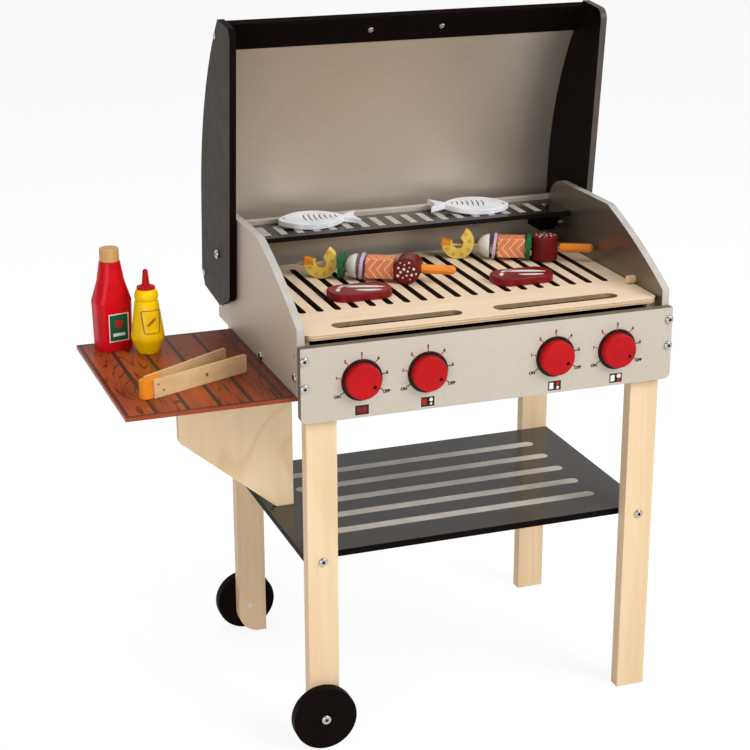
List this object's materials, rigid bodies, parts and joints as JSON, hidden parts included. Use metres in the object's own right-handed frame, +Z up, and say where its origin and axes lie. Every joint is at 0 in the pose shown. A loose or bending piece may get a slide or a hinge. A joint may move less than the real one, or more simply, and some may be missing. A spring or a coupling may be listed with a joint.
{
  "type": "toy barbecue grill",
  "caption": "Child-size wooden play barbecue on legs and wheels, with an open swinging lid, pull-out slotted plate, turning knobs, side table, play food, tongs and sauce bottles.",
  "frame": {"origin": "middle of the footprint of the whole grill, on the floor", "axes": "+Z up, +Y from the front panel with the knobs towards the back, +X to the right seen from the front, away from the side table"},
  "size_m": [0.7336, 0.4286, 0.9033],
  "materials": {
    "front_panel": "brushed silver print",
    "back_panel": "brushed silver print",
    "side_panel_left": "brushed silver print",
    "leg_front_left": "bare wood",
    "leg_rear_left": "bare wood",
    "plate_ledge_left": "bare wood",
    "plate_peg_left": "bare wood",
    "rack_block_left": "bare wood",
    "lid_pivot_left": "bright plated steel",
    "side_panel_right": "brushed silver print",
    "leg_front_right": "bare wood",
    "leg_rear_right": "bare wood",
    "plate_ledge_right": "bare wood",
    "plate_peg_right": "bare wood",
    "rack_block_right": "bare wood",
    "lid_pivot_right": "bright plated steel",
    "base_board": "bare wood",
    "lower_shelf": "black stain",
    "side_table": "plank print",
    "table_bracket": "bare wood",
    "warming_rack": "black stain",
    "panel_bolts": "bright plated steel",
    "frame_bolts": "bright plated steel",
    "small_screws": "bright plated steel",
    "lid_side_left": "black stain",
    "lid_side_right": "black stain",
    "lid_cover": "black outside, silver inside",
    "lid_front_rail": "black stain",
    "lid_rear_rail": "black stain",
    "lid_handle": "black stain",
    "lid_screws": "bright plated steel",
    "grill_plate": "bare wood",
    "knob_1": "red paint",
    "knob_2": "red paint",
    "knob_3": "red paint",
    "knob_4": "red paint",
    "wheel_front": "black stain",
    "wheel_rear": "black stain",
    "wheel_bolts": "bright plated steel",
    "skewer_left_stick": "bare stick, orange grip",
    "skewer_left_shrimp": "painted",
    "skewer_left_slices": "painted",
    "skewer_left_salmon": "painted",
    "skewer_left_salami": "painted",
    "skewer_right_stick": "bare stick, orange grip",
    "skewer_right_shrimp": "painted",
    "skewer_right_slices": "painted",
    "skewer_right_salmon": "painted",
    "skewer_right_salami": "painted",
    "steak_left": "painted",
    "steak_right": "painted",
    "fish_left": "painted",
    "fish_right": "painted",
    "ketchup_bottle": "gloss red paint",
    "ketchup_cap": "bare wood",
    "mustard_bottle": "gloss yellow paint",
    "mustard_nozzle": "gloss red paint",
    "tongs_block": "orange paint",
    "tongs_arm_front": "bare wood",
    "tongs_arm_rear": "bare wood"
  },
  "bodies": {
    "grill": {"front_panel": "front_panel", "side_panel_left": "side_panel_left", "side_panel_right": "side_panel_right", "back_panel": "back_panel", "base_board": "base_board", "leg_front_left": "leg_front_left", "leg_front_right": "leg_front_right", "leg_rear_left": "leg_rear_left", "leg_rear_right": "leg_rear_right", "lower_shelf": "lower_shelf", "side_table": "side_table", "table_bracket": "table_bracket", "plate_ledge_left": "plate_ledge_left", "plate_ledge_right": "plate_ledge_right", "plate_peg_left": "plate_peg_left", "plate_peg_right": "plate_peg_right", "warming_rack": "warming_rack", "rack_block_left": "rack_block_left", "rack_block_right": "rack_block_right", "lid_pivot_left": "lid_pivot_left", "lid_pivot_right": "lid_pivot_right", "wheel_bolts": "wheel_bolts", "panel_bolts": "panel_bolts", "frame_bolts": "frame_bolts", "small_screws": "small_screws"},
    "lid": {"lid_side_left": "lid_side_left", "lid_side_right": "lid_side_right", "lid_cover": "lid_cover", "lid_front_rail": "lid_front_rail", "lid_rear_rail": "lid_rear_rail", "lid_handle": "lid_handle", "lid_screws": "lid_screws"},
    "plate": {"grill_plate": "grill_plate"},
    "knob_1": {"knob_1": "knob_1"},
    "knob_2": {"knob_2": "knob_2"},
    "knob_3": {"knob_3": "knob_3"},
    "knob_4": {"knob_4": "knob_4"},
    "wheel_front": {"wheel_front": "wheel_front"},
    "wheel_rear": {"wheel_rear": "wheel_rear"},
    "skewer_left": {"skewer_left_stick": "skewer_left_stick", "skewer_left_shrimp": "skewer_left_shrimp", "skewer_left_slices": "skewer_left_slices", "skewer_left_salmon": "skewer_left_salmon", "skewer_left_salami": "skewer_left_salami"},
    "steak_left": {"steak_left": "steak_left"},
    "fish_left": {"fish_left": "fish_left"},
    "skewer_right": {"skewer_right_stick": "skewer_right_stick", "skewer_right_shrimp": "skewer_right_shrimp", "skewer_right_slices": "skewer_right_slices", "skewer_right_salmon": "skewer_right_salmon", "skewer_right_salami": "skewer_right_salami"},
    "steak_right": {"steak_right": "steak_right"},
    "fish_right": {"fish_right": "fish_right"},
    "ketchup": {"ketchup_bottle": "ketchup_bottle", "ketchup_cap": "ketchup_cap"},
    "mustard": {"mustard_bottle": "mustard_bottle", "mustard_nozzle": "mustard_nozzle"},
    "tongs": {"tongs_block": "tongs_block"},
    "tongs_arm_front": {"tongs_arm_front": "tongs_arm_front"},
    "tongs_arm_rear": {"tongs_arm_rear": "tongs_arm_rear"}
  },
  "joints": [
    {"name": "lid_swing", "type": "hinge", "parent": "grill", "child": "lid", "pos_m": [0.099, 0.12458, 0.5848], "axis": [-1, 0, 0], "range_deg": [-84.3, 0]},
    {"name": "plate_pull", "type": "slide", "parent": "grill", "child": "plate", "axis": [0, -1, 0], "range_m": [0, 0.24]},
    {"name": "knob_1_turn", "type": "hinge", "parent": "grill", "child": "knob_1", "pos_m": [-0.075, -0.20202, 0.5], "axis": [0, -1, 0], "range_deg": [0, 240]},
    {"name": "knob_2_turn", "type": "hinge", "parent": "grill", "child": "knob_2", "pos_m": [0.012, -0.20202, 0.5], "axis": [0, -1, 0], "range_deg": [0, 240]},
    {"name": "knob_3_turn", "type": "hinge", "parent": "grill", "child": "knob_3", "pos_m": [0.186, -0.20202, 0.5], "axis": [0, -1, 0], "range_deg": [0, 240]},
    {"name": "knob_4_turn", "type": "hinge", "parent": "grill", "child": "knob_4", "pos_m": [0.273, -0.20202, 0.5], "axis": [0, -1, 0], "range_deg": [0, 240]},
    {"name": "wheel_front_spin", "type": "hinge", "parent": "grill", "child": "wheel_front", "pos_m": [-0.128, -0.19002, 0.0425], "axis": [0, 1, 0], "continuous": true},
    {"name": "wheel_rear_spin", "type": "hinge", "parent": "grill", "child": "wheel_rear", "pos_m": [-0.128, 0.16198, 0.0425], "axis": [0, 1, 0], "continuous": true},
    {"name": "skewer_left_lift", "type": "slide", "parent": "plate", "child": "skewer_left", "axis": [0, -0.7071, 0.7071], "range_m": [0, 0.1]},
    {"name": "steak_left_lift", "type": "slide", "parent": "plate", "child": "steak_left", "axis": [0, -0.7071, 0.7071], "range_m": [0, 0.1]},
    {"name": "fish_left_lift", "type": "slide", "parent": "grill", "child": "fish_left", "axis": [0, 0, 1], "range_m": [0, 0.1]},
    {"name": "skewer_right_lift", "type": "slide", "parent": "plate", "child": "skewer_right", "axis": [0, -0.7071, 0.7071], "range_m": [0, 0.1]},
    {"name": "steak_right_lift", "type": "slide", "parent": "plate", "child": "steak_right", "axis": [0, -0.7071, 0.7071], "range_m": [0, 0.1]},
    {"name": "fish_right_lift", "type": "slide", "parent": "grill", "child": "fish_right", "axis": [0, 0, 1], "range_m": [0, 0.1]},
    {"name": "ketchup_lift", "type": "slide", "parent": "grill", "child": "ketchup", "axis": [0, 0, 1], "range_m": [0, 0.1]},
    {"name": "mustard_lift", "type": "slide", "parent": "grill", "child": "mustard", "axis": [0, 0, 1], "range_m": [0, 0.1]},
    {"name": "tongs_lift", "type": "slide", "parent": "grill", "child": "tongs", "axis": [0, 0, 1], "range_m": [0, 0.1]},
    {"name": "tongs_front_squeeze", "type": "hinge", "parent": "tongs", "child": "tongs_arm_front", "pos_m": [-0.30065, -0.12118, 0.482], "axis": [0, 0, 1], "range_deg": [0, 7.5], "stiffness_Nm_per_rad": 1},
    {"name": "tongs_rear_squeeze", "type": "hinge", "parent": "tongs", "child": "tongs_arm_rear", "pos_m": [-0.30887, -0.10539, 0.482], "axis": [0, 0, -1], "range_deg": [0, 7.5], "stiffness_Nm_per_rad": 1}
  ],
  "couplings": [
    {"joint": "tongs_front_squeeze", "follows": "tongs_rear_squeeze", "ratio": 1}
  ]
}
